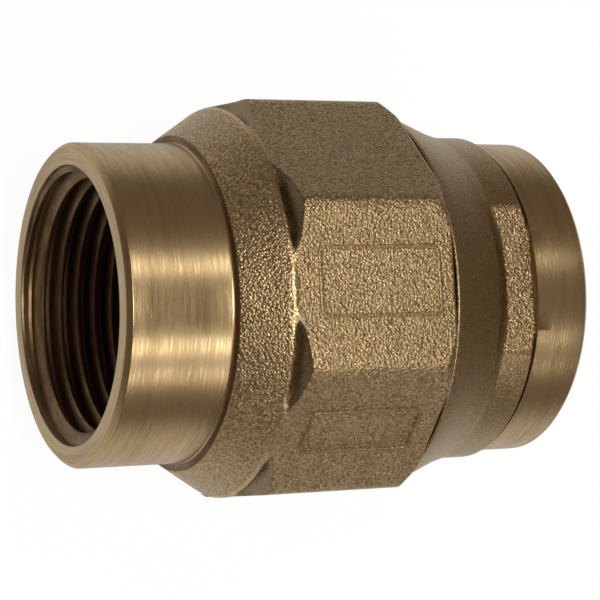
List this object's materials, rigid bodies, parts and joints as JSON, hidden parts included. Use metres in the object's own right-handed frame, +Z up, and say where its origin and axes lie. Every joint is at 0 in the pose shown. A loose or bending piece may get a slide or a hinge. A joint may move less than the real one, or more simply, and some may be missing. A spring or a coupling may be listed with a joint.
{
  "type": "check valve",
  "caption": "Brass spring check valve with a female pipe thread at each end, an octagonal body, a screwed end cap and a guided poppet that lets water flow one way.",
  "frame": {"origin": "on the valve axis, halfway between the two mouths", "axes": "+X along the valve axis from the outlet mouth to the inlet mouth, +Z up from the wrench flat that it rests on"},
  "size_m": [0.0604, 0.0476, 0.0476],
  "materials": {
    "cast_brass": "shot-blasted casting with turned ends",
    "cap_brass": "cast and turned, satin",
    "turned_brass": "turned, satin",
    "joint_ring": "matt pressed fibre",
    "guide_plastic": "moulded, matt",
    "bush_plastic": "smooth white plastic",
    "spring_steel": "drawn stainless wire",
    "seal_rubber": "matt black rubber"
  },
  "bodies": {
    "housing": {"valve_body": "cast_brass", "end_cap": "cap_brass", "body_gasket": "joint_ring", "stem_guide": "guide_plastic", "guide_bush": "bush_plastic", "closing_spring": "spring_steel"},
    "poppet": {"poppet_stem": "turned_brass", "poppet_disc": "turned_brass", "disc_seal": "seal_rubber", "seal_retainer": "turned_brass", "lock_washer": "spring_steel", "stem_nut": "turned_brass"}
  },
  "joints": [
    {"name": "poppet_slide", "type": "slide", "parent": "housing", "child": "poppet", "axis": [-1, 0, 0], "range_m": [0, 0.006], "stiffness_N_per_m": 250, "springref_m": -0.004, "deforming": ["closing_spring"]}
  ]
}
